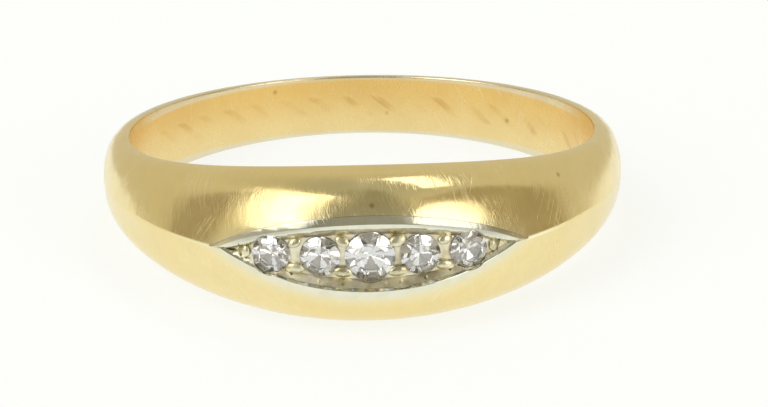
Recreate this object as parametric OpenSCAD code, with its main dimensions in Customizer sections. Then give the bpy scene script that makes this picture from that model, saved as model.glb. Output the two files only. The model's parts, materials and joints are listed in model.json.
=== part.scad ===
// Boat-head finger ring: a tapered, domed gold band with a white-metal plate let into its head,
// and a row of five single-cut stones held by raised grains.
// The bore runs along Z, its centre is the origin, and the stones face -Y.

/* [Finger] */
// Inside diameter of the finger bore
finger_d = 17; // [15.5:0.1:20]

/* [Band] */
// Width of the band at the head, measured along the finger
head_w = 5.55; // [5.2:0.05:6.5]
// Width of the band at the back
back_w = 2.3; // [1.8:0.1:3]
// Part of the widening that is spread evenly from back to head
even_w = 1.6; // [1:0.1:2]
// Thickness of the gold at the head
head_t = 2.4; // [2.3:0.1:2.8]
// Thickness of the gold at the back
back_t = 1; // [0.8:0.05:1.4]
// Angle from the middle of the head at which the shoulder has died away
shoulder_a = 82; // [74:1:90]
// Fullness of the domed section, where 2 is an ellipse and more is squarer
dome_n = 2.25; // [2:0.05:2.6]
// Width of the softened edge between the dome and the bore
edge_soft = 0.14; // [0.08:0.02:0.2]
// Height of the soft ridge that runs along the middle of each shoulder, from the plate's tips back
ridge_h = 0.13; // [0:0.01:0.16]

/* [Setting plate] */
// Length of the white-metal plate, tip to tip, seen from the front
plate_l = 11.1; // [10.8:0.1:11.6]
// Height of the plate at its middle
plate_h = 3.1; // [3:0.02:3.4]
// Angle from the middle of the head to each tip of the recess
recess_a = 29; // [28.6:0.1:29.6]
// Height of the recess at its middle
recess_h = 2.16; // [2.1:0.02:2.3]
// Depth of the recess below the dome at its middle
recess_d = 0.6; // [0.5:0.05:0.7]
// Lean of the recess walls: how far they come in for each millimetre down
wall_lean = 0.5; // [0.3:0.05:0.6]
// Thickness of white metal under the recess
plate_t = 0.65; // [0.5:0.05:0.8]

/* [Stones] */
// Diameter of the centre stone
centre_d = 1.76; // [1.6:0.02:1.8]
// Diameter of the stones next to it
inner_d = 1.42; // [1.3:0.02:1.5]
// Diameter of the outer stones
outer_d = 1.36; // [1.2:0.02:1.4]
// Angle round the band from one stone to the next
stone_pitch = 9.6; // [9.4:0.1:10]

/* [Grains] */
// Diameter of a grain between two stones
grain_d = 0.56; // [0.5:0.02:0.6]
// Height above and below the row's middle line of the grains beside the centre stone
inner_grain_z = 0.54; // [0.5:0.01:0.58]
// Height above and below the row's middle line of the other grains
outer_grain_z = 0.44; // [0.42:0.01:0.48]
// Diameter of the single grain at each tip of the row
tip_grain_d = 0.4; // [0.34:0.02:0.44]
// Angle of the tip grains from the middle of the head
tip_a = 24.3; // [24.1:0.1:24.8]

/* [Hidden] */

gold = [0.86, 0.68, 0.32];
white_metal = [0.80, 0.79, 0.76];
clear_stone = [0.88, 0.92, 0.96];

bore_r = finger_d / 2;
top_r = bore_r + head_t;            // outside of the dome at the middle of the head
floor_r = top_r - recess_d;         // floor of the recess
under_r = floor_r - plate_t;        // underside of the plate
girdle_r = floor_r + 0.04;          // the stones' girdles sit just above the floor
grain_r = floor_r + 0.06;           // centres of the grains
far_r = top_r + 0.3;                // clear of the dome

stone_a = [-2 * stone_pitch, -stone_pitch, 0, stone_pitch, 2 * stone_pitch];
stone_d = [outer_d, inner_d, centre_d, inner_d, outer_d];
grain_z = [outer_grain_z, inner_grain_z, inner_grain_z, outer_grain_z];

// A single-cut stone's proportions, as fractions of its diameter
table_f = 0.60;
crown_f = 0.14;
girdle_f = 0.04;
pavilion_f = 0.43;
culet_f = 0.06;
hole_f = 0.60;                      // light hole under the stone

swell_n = 1.6;                      // the thickness dies away faster than the width by this power
ridge_share = 0.55;                 // share of the band's half-width that the ridge's foot takes
ridge_in = [20, 31];                // angles over which the ridge rises, near the plate's tips
ridge_out = [48, 88];               // angles over which it dies away down the shoulder
step_a = 3;                         // angle between two sections of the loft
recess_steps = 24;                  // sections along the recess
dome_steps = 16;                    // faces across the dome
edge_steps = 3;                     // faces across each softened edge
sunk = 0.3;                         // how far the loft reaches inside the bore before it is bored

// Share of full size that the shoulder adds at angle a from the middle of the head
function shoulder(a) = a < shoulder_a ? (1 + cos(180 * a / shoulder_a)) / 2 : 0;
// Angle from the middle of the head, 0 to 180, whichever way round
function away(a) = let (b = (a % 360 + 360) % 360) min(b, 360 - b);
// Half the band's width, and its thickness, at angle a
function half_w(a) = let (b = away(a))
  (back_w + even_w * (1 + cos(b)) / 2 + (head_w - back_w - even_w) * shoulder(b)) / 2;
function thick(a) = back_t + (head_t - back_t) * pow(shoulder(away(a)), swell_n);
// Smooth step from 0 to 1 while x goes over a range
function ease(x, range) =
  let (s = max(0, min(1, (x - range[0]) / (range[1] - range[0])))) s * s * (3 - 2 * s);
// How far the shoulder's ridge stands above the dome at angle a and height z
function ridge(a, z) = let (b = away(a))
  ridge_h * ease(b, ridge_in) * (1 - ease(b, ridge_out))
  * pow(max(0, 1 - abs(z) / half_w(a) / ridge_share), 2);
// Radius of the dome at angle a and height z
function dome_r(a, z) = bore_r + edge_soft
  + (thick(a) - edge_soft) * pow(1 - pow(abs(z) / half_w(a), dome_n), 1 / dome_n) + ridge(a, z);

// One section as [radius, height] pairs, from the lower bore edge over the dome to the upper one
function dome_point(a, p) = let (z = half_w(a) * sign(p) * pow(abs(sin(p)), 2 / dome_n)) [
  bore_r + edge_soft + (thick(a) - edge_soft) * pow(cos(p), 2 / dome_n) + ridge(a, z),
  z
];
function edge_point(a, q, side) = [
  bore_r + edge_soft * (1 - cos(q)),
  side * (half_w(a) - edge_soft * (1 - sin(q)))
];
function sunk_point(a, side) = [bore_r - sunk, side * (half_w(a) - edge_soft - sunk / 2)];
function section(a) = concat(
  [sunk_point(a, -1)],
  [for (i = [1 : edge_steps - 1]) edge_point(a, 90 * i / edge_steps, -1)],
  [for (i = [0 : dome_steps]) dome_point(a, -90 + 180 * i / dome_steps)],
  [for (i = [edge_steps - 1 : -1 : 1]) edge_point(a, 90 * i / edge_steps, 1)],
  [sunk_point(a, 1)]
);
function place(a, p) = [p[0] * sin(a), -p[0] * cos(a), p[1]];

// A solid stretched over rows of points, either closed into a ring or capped at both ends
module skin(sections, closed) {
  rows = len(sections);
  cols = len(sections[0]);
  sides = [
    for (i = [0 : rows - (closed ? 1 : 2)]) for (j = [0 : cols - 1])
      let (
        k = (i + 1) % rows,
        m = (j + 1) % cols,
        a = i * cols + j,
        b = k * cols + j,
        c = k * cols + m,
        d = i * cols + m
      )
      each [[a, d, c], [a, c, b]]
  ];
  caps = closed ? [] : [
    [for (j = [cols - 1 : -1 : 0]) j],
    [for (j = [0 : cols - 1]) (rows - 1) * cols + j]
  ];
  polyhedron(points = [for (s = sections) each s], faces = concat(sides, caps), convexity = 6);
}

// The band's outer shape through the given angles
module loft(angles, closed) skin([for (a = angles) [for (p = section(a)) place(a, p)]], closed);

// Moves its children from the origin to radius r at angle a, with their Z pointing outwards
module seat(a, r) rotate([0, 0, a]) translate([0, -r, 0]) rotate([90, 0, 0]) children();

// A boat-shaped block along Y: two large round arcs that meet in points
module boat(length, height) {
  arc_r = (length * length + height * height) / (4 * height);
  translate([0, -bore_r, 0]) rotate([90, 0, 0]) intersection_for (side = [-1, 1])
    translate([0, side * (arc_r - height / 2), 0]) cylinder(r = arc_r, h = 2 * head_t, $fn = 180);
}

// Half the recess's height at angle a: a round arc, laid round the dome from tip to tip
function recess_z(a) = let (
    half_l = recess_a / 180 * PI * top_r,
    arc_r = (half_l * half_l + recess_h * recess_h / 4) / recess_h,
    s = a / recess_a * half_l
  )
  sqrt(arc_r * arc_r - s * s) - arc_r + recess_h / 2;
// One section of the recess: leaning walls that end at the floor, or meet above it near the tips
function recess_section(a) = let (
    z = max(recess_z(a), 0.01),
    edge_r = dome_r(a, z),
    low_r = max(floor_r - 0.1, edge_r - (z - 0.005) / wall_lean),
    low_z = z - wall_lean * (edge_r - low_r),
    far_z = z + wall_lean * (far_r - edge_r)
  )
  [[low_r, -low_z], [far_r, -far_z], [far_r, far_z], [low_r, low_z]];

// The hollow of the recess, down to its round floor
module recess() difference() {
  angles = [for (i = [0 : recess_steps]) recess_a * (2 * i / recess_steps - 1)];
  skin([for (a = angles) [for (p = recess_section(a)) place(a, p)]], false);
  cylinder(r = floor_r, h = 2 * head_w, center = true, $fn = 240);
}

// The space that a stone takes up, turned all round
module stone_space(d) {
  outer_r = d / 2 / cos(22.5);
  intersection() {
    cylinder(d = d, h = 2 * d, center = true, $fn = 48);
    union() {
      translate([0, 0, -girdle_f * d / 2])
        mirror([0, 0, 1]) cylinder(r1 = outer_r, r2 = 0, h = pavilion_f * d, $fn = 48);
      cylinder(r = outer_r, h = girdle_f * d, center = true, $fn = 48);
      translate([0, 0, girdle_f * d / 2])
        cylinder(r1 = outer_r, r2 = table_f * outer_r, h = crown_f * d, $fn = 48);
    }
  }
}

module light_hole(d, from_r, to_r) {
  translate([0, 0, from_r - to_r]) cylinder(d = hole_f * d, h = to_r - from_r, $fn = 32);
}

// The gold band, bored for the finger and let in for the plate
module shank() color(gold) difference() {
  loft([for (a = [0 : step_a : 360 - step_a]) a], true);
  cylinder(r = bore_r, h = 2 * head_w, center = true, $fn = 240);
  difference() {
    boat(plate_l, plate_h);
    cylinder(r = under_r, h = 2 * head_w, center = true, $fn = 240);
  }
  for (i = [0 : 4]) seat(stone_a[i], under_r + 0.1) light_hole(stone_d[i], bore_r - 0.3, under_r + 0.1);
}

// The white-metal plate, flush with the dome, with its recess and five seats
module setting_plate() color(white_metal) difference() {
  intersection() {
    loft([for (a = [-13 * step_a : step_a : 13 * step_a]) a], false);
    boat(plate_l, plate_h);
  }
  cylinder(r = under_r, h = 2 * head_w, center = true, $fn = 240);
  recess();
  for (i = [0 : 4]) {
    seat(stone_a[i], girdle_r) stone_space(stone_d[i]);
    seat(stone_a[i], girdle_r) light_hole(stone_d[i], under_r - 0.3, girdle_r);
  }
}

// One single-cut stone: eight crown facets round a table, eight pavilion facets below the girdle
module stone(i) {
  d = stone_d[i];
  outer_r = d / 2 / cos(22.5);
  color(clear_stone) seat(stone_a[i], girdle_r) intersection() {
    cylinder(d = d, h = 2 * d, center = true, $fn = 48);
    rotate([0, 0, 22.5]) union() {
      translate([0, 0, -girdle_f * d / 2]) mirror([0, 0, 1])
        cylinder(r1 = outer_r, r2 = culet_f * outer_r, h = pavilion_f * (1 - culet_f) * d, $fn = 8);
      cylinder(r = outer_r, h = girdle_f * d, center = true, $fn = 8);
      translate([0, 0, girdle_f * d / 2])
        cylinder(r1 = outer_r, r2 = table_f * outer_r, h = crown_f * d, $fn = 8);
    }
  }
}

// One grain, standing on the floor of the recess and pushed against the stones beside it
module grain(a, z, d) color(white_metal) difference() {
  intersection() {
    seat(a, grain_r) translate([0, z, 0]) sphere(d = d, $fn = 24);
    recess();
  }
  for (i = [0 : 4]) if (abs(stone_a[i] - a) < stone_pitch)
    seat(stone_a[i], girdle_r) cylinder(d = stone_d[i] + 0.02, h = 2 * girdle_f * stone_d[i],
      center = true, $fn = 48);
}

// Angle of the gap between stone i and the next, midway between their girdles
function gap_a(i) = stone_a[i] + stone_pitch / 2 + 90 / PI * (stone_d[i] - stone_d[i + 1]) / 2 / girdle_r;

shank();
setting_plate();
stone(0);  // stone_left_outer
stone(1);  // stone_left_inner
stone(2);  // stone_centre
stone(3);  // stone_right_inner
stone(4);  // stone_right_outer
for (i = [0 : 3]) {
  grain(gap_a(i), grain_z[i], grain_d);
  grain(gap_a(i), -grain_z[i], grain_d);
}
grain(-tip_a, 0, tip_grain_d);  // grain_left_tip
grain(tip_a, 0, tip_grain_d);  // grain_right_tip
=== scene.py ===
# %% [markdown]
# # A boat-head ring with five small diamonds
# The real ring is a tapered gold band with a dome-shaped section. Its head holds a boat-shaped
# plate of white metal, let in flush with the gold, and five single-cut diamonds sit in a sloping
# recess in that plate. Little grains of metal, raised with a graver, hold the stones.
# The functional model is loaded first as a fixed frame. Everything that shows is then modelled
# round it, each piece in the place of the plain node that it stands for.

# %% Load the frame
import json
import math

import bmesh
import bpy
from mathutils import Matrix, Vector


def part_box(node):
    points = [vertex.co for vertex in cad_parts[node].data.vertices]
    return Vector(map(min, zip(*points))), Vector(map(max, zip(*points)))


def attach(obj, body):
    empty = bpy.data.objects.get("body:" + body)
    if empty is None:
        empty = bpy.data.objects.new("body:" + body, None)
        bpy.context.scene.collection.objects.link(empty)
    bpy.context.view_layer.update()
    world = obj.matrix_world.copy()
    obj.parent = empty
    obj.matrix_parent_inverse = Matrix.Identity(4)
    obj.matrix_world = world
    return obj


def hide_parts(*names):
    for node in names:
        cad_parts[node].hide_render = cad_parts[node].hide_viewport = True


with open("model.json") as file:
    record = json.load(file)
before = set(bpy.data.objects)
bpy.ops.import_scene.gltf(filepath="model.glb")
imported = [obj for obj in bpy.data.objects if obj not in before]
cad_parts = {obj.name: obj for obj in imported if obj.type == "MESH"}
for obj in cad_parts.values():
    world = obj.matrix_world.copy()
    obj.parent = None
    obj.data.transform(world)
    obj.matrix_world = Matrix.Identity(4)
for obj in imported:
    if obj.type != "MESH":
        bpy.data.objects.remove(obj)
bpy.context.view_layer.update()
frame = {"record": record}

# %% [markdown]
# ## Sizes
# A ring is measured in millimetres, and Blender's operators have thresholds that suit things of about one
# unit. So each piece is modelled at a scale of one unit to the millimetre, and shrunk to metres when it is
# finished. The bore, the width of the head and the thickness of the back come from the frame. The rules for
# how the width and the thickness die away from the head are the same as the frame's, so each piece fits the
# solid that it stands for.

# %% Sizes that drive the ring, in millimetres
METRES = 0.001
finger_mount = frame["record"]["mounts"][0]
BORE_R = finger_mount["dims"]["r_mm"]
shank_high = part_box("shank")[1]
plate_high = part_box("setting_plate")[1]
HEAD_HALF = shank_high.z / METRES
BACK_T = shank_high.y / METRES - BORE_R
BACK_HALF = 1.15
EVEN_HALF = 0.8  # share of the half width that dies away evenly, all the way to the back
HEAD_T = 2.4
SHOULDER_A = math.radians(82)
SWELL = 1.6
DOME_N = 2.25  # 2 would be an ellipse, and more is squarer
EDGE = 0.14
RIDGE_H = 0.13
RIDGE_SHARE = 0.55
PLATE_HALF_L = plate_high.x / METRES
PLATE_HALF_H = plate_high.z / METRES
UNDER_R = BORE_R + 1.15
FLOOR_R = UNDER_R + 0.65
GIRDLE_R = FLOOR_R + 0.04
print(f"bore radius {BORE_R} mm, head half width {HEAD_HALF:.3f} mm, back thickness {BACK_T:.3f} mm")


# %% [markdown]
# ### How the band tapers
# A real shank is filed by eye, but always with one smooth sweep from head to back. A cosine has
# that sweep, so the width and the thickness follow one, and die away on the shoulders. A soft
# ridge is left along each shoulder, where two strokes of the file met. A sweep along a curve
# with a taper object would do the same, but rules in code can be shared by every later piece.

# %% The rules for the band's width and thickness
def shoulder(angle):
    """Share of full size that the shoulder adds at an angle from the middle of the head."""
    away = abs((angle + math.pi) % (2 * math.pi) - math.pi)
    return (1 + math.cos(math.pi * away / SHOULDER_A)) / 2 if away < SHOULDER_A else 0.0


def half_width(angle):
    swell = HEAD_HALF - BACK_HALF - EVEN_HALF
    return BACK_HALF + EVEN_HALF * (1 + math.cos(angle)) / 2 + swell * shoulder(angle)


def thickness(angle):
    return BACK_T + (HEAD_T - BACK_T) * shoulder(angle) ** SWELL


# %% [markdown]
# ### The dome and its ridge
# The section is a superellipse, a little squarer than an ellipse, as worn D-shaped wire is. The
# ridge is added on top of it. It fades in at the plate's tips, out towards the back, and away
# to both sides, and a smooth step keeps each fade free of kinks.

# %% The rules for the dome and its ridge
def ease(value, start, end):
    """Goes smoothly from 0 at start to 1 at end."""
    share = min(max((value - start) / (end - start), 0.0), 1.0)
    return share * share * (3 - 2 * share)


def ridge(angle, z):
    """Height of the soft ridge that runs from each tip of the plate down the shoulder."""
    away = math.degrees(abs((angle + math.pi) % (2 * math.pi) - math.pi))
    across = abs(z) / half_width(angle)
    along = ease(away, 20, 31) * (1 - ease(away, 48, 88))
    return RIDGE_H * along * max(0.0, 1 - across / RIDGE_SHARE) ** 2


def dome_radius(angle, z):
    """Distance from the bore's axis to the dome, at an angle and a height."""
    across = min(abs(z) / half_width(angle), 1.0)
    rise = (1 - across**DOME_N) ** (1 / DOME_N)
    return BORE_R + EDGE + (thickness(angle) - EDGE) * rise + ridge(angle, z)


def around(angle, radius, z):
    """The point at an angle round the bore. Angle 0 is the middle of the head."""
    return Vector((radius * math.sin(angle), -radius * math.cos(angle), z))


for degrees in (0, 30, 60, 90, 180):
    a = math.radians(degrees)
    print(f"{degrees:3d} deg: half width {half_width(a):.3f}, thickness {thickness(a):.3f}")


# %% [markdown]
# ### The boat's outline
# The plate looks like a boat from the front: two round arcs that meet in points. It lies on a
# curved head, so its real length is longer than it looks. The angle of its tips is found first,
# and the length along the dome follows from it.

# %% The boat outline, measured along the dome
TOP_R = BORE_R + HEAD_T


def tip_angle(half_length):
    """The angle at which the dome is as far to the side as the tip of a boat seen from the front."""
    a = 0.5
    for _ in range(20):
        a = math.asin(half_length / dome_radius(a, 0))
    return a


def arc_radius(half_length, half_height):
    """Radius of the two arcs that meet in a boat's tips."""
    return (half_length**2 + half_height**2) / (2 * half_height)


boat_l = tip_angle(PLATE_HALF_L) * TOP_R
print(f"boat: half length {boat_l:.3f} mm along the dome, half height {PLATE_HALF_H:.3f} mm")


# %% [markdown]
# ## Helpers for modelling by operator
# An operator works on whatever is selected, so every piece starts by clearing the selection. In
# edit mode the faces and edges are picked by their place, which is what the helper below does.

# %% Helpers: selecting
def clear_selection():
    if bpy.context.object and bpy.context.object.mode != "OBJECT":
        bpy.ops.object.mode_set(mode="OBJECT")
    bpy.ops.object.select_all(action="DESELECT")


def only(piece):
    """Makes one object the selected and active one."""
    clear_selection()
    piece.select_set(True)
    bpy.context.view_layer.objects.active = piece


def pick(piece, wanted, kind="verts"):
    """In edit mode, selects the verts, edges or faces for which wanted(element) is true."""
    bpy.ops.mesh.select_all(action="DESELECT")
    mesh = bmesh.from_edit_mesh(piece.data)
    count = 0
    for element in getattr(mesh, kind):
        if wanted(element):
            element.select_set(True)
            count += 1
    mesh.select_flush_mode()
    bmesh.update_edit_mesh(piece.data)
    return count


# %% [markdown]
# ### Modifiers and cuts
# A modifier stays live until it is applied, and the next operator should work on its result, so
# each one is applied at once. Boolean cuts use the exact solver, which copes with thin slivers.

# %% Helpers: modifiers and cuts
def apply_modifier(piece, kind, **settings):
    only(piece)
    modifier = piece.modifiers.new(kind.title(), kind)
    for name, value in settings.items():
        setattr(modifier, name, value)
    bpy.ops.object.modifier_apply(modifier=modifier.name)


def cut_away(piece, tool, operation="DIFFERENCE"):
    """Cuts one closed shape from another, then deletes the cutting tool."""
    apply_modifier(piece, "BOOLEAN", object=tool, operation=operation, solver="EXACT")
    bpy.data.objects.remove(tool)


# %% [markdown]
# ### Finishing a piece
# A finished piece's object sits at the origin, unturned and unscaled, with its place and size in its mesh.
# Then it is shaded smooth apart from its real edges and told which part of the frame it rides on, and the
# plain node that it takes the place of is hidden.

# %% Helpers: finishing
def finish_piece(piece, name, node, material=None, smooth_degrees=30):
    """Shrinks a piece to metres with its place in its mesh, and puts it in its node's place."""
    only(piece)
    piece.name = name
    piece.data.name = name
    bpy.ops.object.transform_apply(location=True, rotation=True, scale=True)
    piece.scale = (METRES, METRES, METRES)
    bpy.ops.object.transform_apply(location=False, rotation=False, scale=True)
    bpy.ops.object.shade_smooth_by_angle(angle=math.radians(smooth_degrees))
    if material:
        piece.data.materials.clear()
        piece.data.materials.append(material)
    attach(piece, "root")
    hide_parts(node)
    print(f"{name}: {len(piece.data.polygons)} faces")


# %% [markdown]
# ## Effects that several finishes share
# Old jewellery is never a perfect mirror. Years of wear leave hair-fine scratches in every
# direction, tiny pits, and a surface that waves a little where it was polished by hand. Each
# effect is a node group, built once. A group gives out only masks and heights, and each material
# decides what to do with them.

# %% Node helpers: a group, a link and a sum
def new_group(name, inputs, outputs):
    """An empty shader node group with named float or vector inputs and float outputs."""
    group = bpy.data.node_groups.new(name, "ShaderNodeTree")
    for label, default in inputs.items():
        kind = "NodeSocketVector" if default is None else "NodeSocketFloat"
        socket = group.interface.new_socket(name=label, in_out="INPUT", socket_type=kind)
        if default is not None:
            socket.default_value = default
    for label in outputs:
        group.interface.new_socket(name=label, in_out="OUTPUT", socket_type="NodeSocketFloat")
    return group, group.nodes.new("NodeGroupInput"), group.nodes.new("NodeGroupOutput")


def connect(tree, source, target):
    """Links an output to an input, or sets the input when the source is a plain value."""
    if isinstance(source, bpy.types.NodeSocket):
        tree.links.new(source, target)
    else:
        target.default_value = source


def maths(tree, operation, first, second=0.0):
    node = tree.nodes.new("ShaderNodeMath")
    node.operation = operation
    connect(tree, first, node.inputs[0])
    connect(tree, second, node.inputs[1])
    return node.outputs[0]


def blend_range(tree, value, low, high, to_low=0.0, to_high=1.0):
    """Maps a value smoothly from one range to another."""
    node = tree.nodes.new("ShaderNodeMapRange")
    node.interpolation_type = "SMOOTHSTEP"
    for index, source in enumerate((value, low, high, to_low, to_high)):
        connect(tree, source, node.inputs[index])
    return node.outputs[0]


# %% [markdown]
# ### Patterns on a curved surface
# Patterns are read in object coordinates, which are metres inside the ring's own space. A
# pattern with long lines should follow the surface, though, and not cut through it. So there is
# also a helper that rolls the band out flat, like a strip of sheet before it is bent.

# %% Node helpers: placing a pattern, noise and mixing
def mapped(tree, vector, scale, turn=(0, 0, 0), shift=(0, 0, 0)):
    node = tree.nodes.new("ShaderNodeMapping")
    node.inputs["Scale"].default_value = scale
    node.inputs["Rotation"].default_value = turn
    node.inputs["Location"].default_value = shift
    tree.links.new(vector, node.inputs["Vector"])
    return node.outputs[0]


UNROLL_R = 0.0104


def unrolled(tree, vector):
    """Lays the ring's outside flat: X becomes the way round it, Y the finger's direction."""
    parts = tree.nodes.new("ShaderNodeSeparateXYZ")
    tree.links.new(vector, parts.inputs[0])
    back = maths(tree, "MULTIPLY", parts.outputs["Y"], -1.0)
    angle = maths(tree, "ARCTAN2", parts.outputs["X"], back)
    flat = tree.nodes.new("ShaderNodeCombineXYZ")
    tree.links.new(maths(tree, "MULTIPLY", angle, UNROLL_R), flat.inputs["X"])
    tree.links.new(parts.outputs["Z"], flat.inputs["Y"])
    return flat.outputs[0]


def noise(tree, vector, scale, detail=2.0, roughness=0.5):
    node = tree.nodes.new("ShaderNodeTexNoise")
    connect(tree, scale, node.inputs["Scale"])
    node.inputs["Detail"].default_value = detail
    node.inputs["Roughness"].default_value = roughness
    tree.links.new(vector, node.inputs["Vector"])
    return node.outputs["Fac"]


def mix_colour(tree, factor, first, second):
    node = tree.nodes.new("ShaderNodeMix")
    node.data_type = "RGBA"
    connect(tree, factor, node.inputs[0])
    connect(tree, first, node.inputs[6])
    connect(tree, second, node.inputs[7])
    return node.outputs[2]


# %% [markdown]
# ### Hair scratches
# A scratch is long and thin. Noise that is squeezed in one direction makes streaks, and the
# places where its value passes the middle are thin lines along the streaks. A second noise
# keeps only short lengths of them. Three sets at different slants cross, as real wear does.

# %% Group: hair scratches
def build_scratches():
    group, given, out = new_group(
        "hair_scratches", {"Vector": None, "Scale": 1.0, "Amount": 0.5}, ["Mask"]
    )
    total = None
    flat = unrolled(group, given.outputs["Vector"])
    for index, slant in enumerate((1.45, 1.1, 2.2)):
        turned = mapped(group, flat, (1, 1, 1), (0, 0, slant))
        squeezed = mapped(group, turned, (1, 14, 1), shift=(index * 0.37, 0, 0))
        streak = noise(group, squeezed, given.outputs["Scale"], 0.0)
        off_line = maths(group, "ABSOLUTE", maths(group, "SUBTRACT", streak, 0.5))
        line = blend_range(group, off_line, 0.045, 0.005)
        spread = maths(group, "MULTIPLY", given.outputs["Scale"], 2.3)
        moved = mapped(group, given.outputs["Vector"], (1, 1, 1), shift=(0, index, 0))
        gate = noise(group, moved, spread)
        kept = maths(group, "SUBTRACT", 0.72, maths(group, "MULTIPLY", given.outputs["Amount"], 0.3))
        length = blend_range(group, gate, kept, maths(group, "ADD", kept, 0.08))
        line = maths(group, "MULTIPLY", line, length)
        total = line if total is None else maths(group, "MAXIMUM", total, line)
    group.links.new(total, out.inputs["Mask"])
    return group


scratches_group = build_scratches()
print("group:", scratches_group.name)

# %% [markdown]
# ### Pits and waves
# A pit is a small round hole where a speck was knocked out of the metal. Voronoi cells give a
# scatter of points, and only the cells whose random value is high enough get a pit. The waves
# are broad, soft noise: they bend a reflection without making the surface look rough.

# %% Groups: pits and waves
def build_pits():
    group, given, out = new_group(
        "pits", {"Vector": None, "Scale": 1.0, "Share": 0.2, "Size": 0.2}, ["Mask"]
    )
    cells = group.nodes.new("ShaderNodeTexVoronoi")
    connect(group, given.outputs["Scale"], cells.inputs["Scale"])
    group.links.new(given.outputs["Vector"], cells.inputs["Vector"])
    chance = group.nodes.new("ShaderNodeSeparateColor")
    group.links.new(cells.outputs["Color"], chance.inputs[0])
    kept = maths(group, "LESS_THAN", chance.outputs[0], given.outputs["Share"])
    dot = blend_range(group, cells.outputs["Distance"], given.outputs["Size"], 0.0)
    group.links.new(maths(group, "MULTIPLY", dot, kept), out.inputs["Mask"])
    return group


def build_waves():
    group, given, out = new_group("polish_waves", {"Vector": None, "Scale": 1.0}, ["Height"])
    broad = noise(group, given.outputs["Vector"], given.outputs["Scale"], 0.0)
    fine_scale = maths(group, "MULTIPLY", given.outputs["Scale"], 3.1)
    fine = noise(group, given.outputs["Vector"], fine_scale, 0.0)
    sum_of = maths(group, "ADD", broad, maths(group, "MULTIPLY", fine, 0.12))
    group.links.new(sum_of, out.inputs["Height"])
    return group


pits_group = build_pits()
waves_group = build_waves()
print("groups:", pits_group.name, waves_group.name)


# %% [markdown]
# ### Brush marks
# The head is rubbed up and down each time the ring goes on or off, so it has very fine lines
# across the band as well as the stray scratches. Noise that is squeezed along the finger's
# direction gives them, and a second layer at a small slant keeps them from looking printed.

# %% Group: brush marks
def build_brush():
    group, given, out = new_group("brush_marks", {"Vector": None, "Scale": 1.0}, ["Height"])
    squeezed = mapped(group, given.outputs["Vector"], (1, 1, 0.06), (0, 0.12, 0))
    fine = noise(group, squeezed, given.outputs["Scale"], 1.0)
    other = mapped(group, given.outputs["Vector"], (1, 1, 0.09), (0, -0.3, 0), (0.01, 0, 0))
    cross = noise(group, other, maths(group, "MULTIPLY", given.outputs["Scale"], 0.6), 0.0)
    group.links.new(maths(group, "ADD", fine, maths(group, "MULTIPLY", cross, 0.5)), out.inputs["Height"])
    return group


brush_group = build_brush()
print("group:", brush_group.name)


# %% [markdown]
# ### Where a point of the ring lies
# Where the plate meets the gold, the solder and years of polish blend the two metals, so the
# colour changes over a few tenths of a millimetre. Both metals need to know how far they are
# from the boat's outline. The bore has its own colour and gloss, and also needs a mask. These
# could be painted as vertex colours, but a sum of coordinates is sharper on a coarse mesh.

# %% Groups: distance from the boat's outline, and the bore's wall
def build_boat_edge():
    """How far a point is inside the boat's outline, in millimetres, and below zero outside it."""
    group, given, out = new_group("boat_edge", {"Vector": None}, ["Inside"])
    parts = group.nodes.new("ShaderNodeSeparateXYZ")
    group.links.new(given.outputs["Vector"], parts.inputs[0])
    angle = maths(group, "ARCTAN2", parts.outputs["X"], maths(group, "MULTIPLY", parts.outputs["Y"], -1.0))
    along = maths(group, "MULTIPLY", angle, TOP_R)
    arc_r = arc_radius(boat_l, PLATE_HALF_H)
    up = maths(group, "MULTIPLY", maths(group, "ABSOLUTE", parts.outputs["Z"]), 1 / METRES)
    up = maths(group, "ADD", up, arc_r - PLATE_HALF_H)
    squares = maths(group, "ADD", maths(group, "POWER", along, 2.0), maths(group, "POWER", up, 2.0))
    reach = maths(group, "SQRT", squares)
    group.links.new(maths(group, "SUBTRACT", arc_r, reach), out.inputs["Inside"])
    return group


def build_bore_wall():
    """One on the bore's wall, which the finger touches, and zero on the outside of the band."""
    group, given, out = new_group("bore_wall", {"Vector": None}, ["Mask"])
    parts = group.nodes.new("ShaderNodeSeparateXYZ")
    group.links.new(given.outputs["Vector"], parts.inputs[0])
    squares = [maths(group, "POWER", parts.outputs[axis], 2.0) for axis in ("X", "Y")]
    reach = maths(group, "SQRT", maths(group, "ADD", squares[0], squares[1]))
    edge = (BORE_R + 0.012) * METRES
    group.links.new(blend_range(group, reach, edge, edge - 0.00001), out.inputs["Mask"])
    return group


boat_edge_group = build_boat_edge()
bore_wall_group = build_bore_wall()
print("shared effects:", [group.name for group in bpy.data.node_groups])


# %% [markdown]
# ## Finishes
# A metal's colour is the colour of its reflection. Eighteen-carat yellow gold reflects most of the red and
# green and little of the blue, and light that bounces twice between gold walls, as it does inside the ring,
# comes out deeper and more orange by itself. The bore's colour has more of that orange painted in.

# %% Starting a material
def new_material(name):
    material = bpy.data.materials.new(name)
    material.use_nodes = True
    tree = material.node_tree
    shader = tree.nodes["Principled BSDF"]
    place = tree.nodes.new("ShaderNodeTexCoord")
    return material, tree, shader, place.outputs["Object"]


def use_group(tree, group, vector, **values):
    node = tree.nodes.new("ShaderNodeGroup")
    node.node_tree = group
    tree.links.new(vector, node.inputs["Vector"])
    for label, value in values.items():
        node.inputs[label.title()].default_value = value
    return node.outputs[0]


def add_bump(tree, shader, height, distance, normal=None):
    """Raises the surface by height times distance, in metres."""
    node = tree.nodes.new("ShaderNodeBump")
    node.inputs["Strength"].default_value = 1.0
    node.inputs["Distance"].default_value = distance
    connect(tree, height, node.inputs["Height"])
    if normal is not None:
        tree.links.new(normal, node.inputs["Normal"])
    tree.links.new(node.outputs["Normal"], shader.inputs["Normal"])
    return node.outputs["Normal"]
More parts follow.
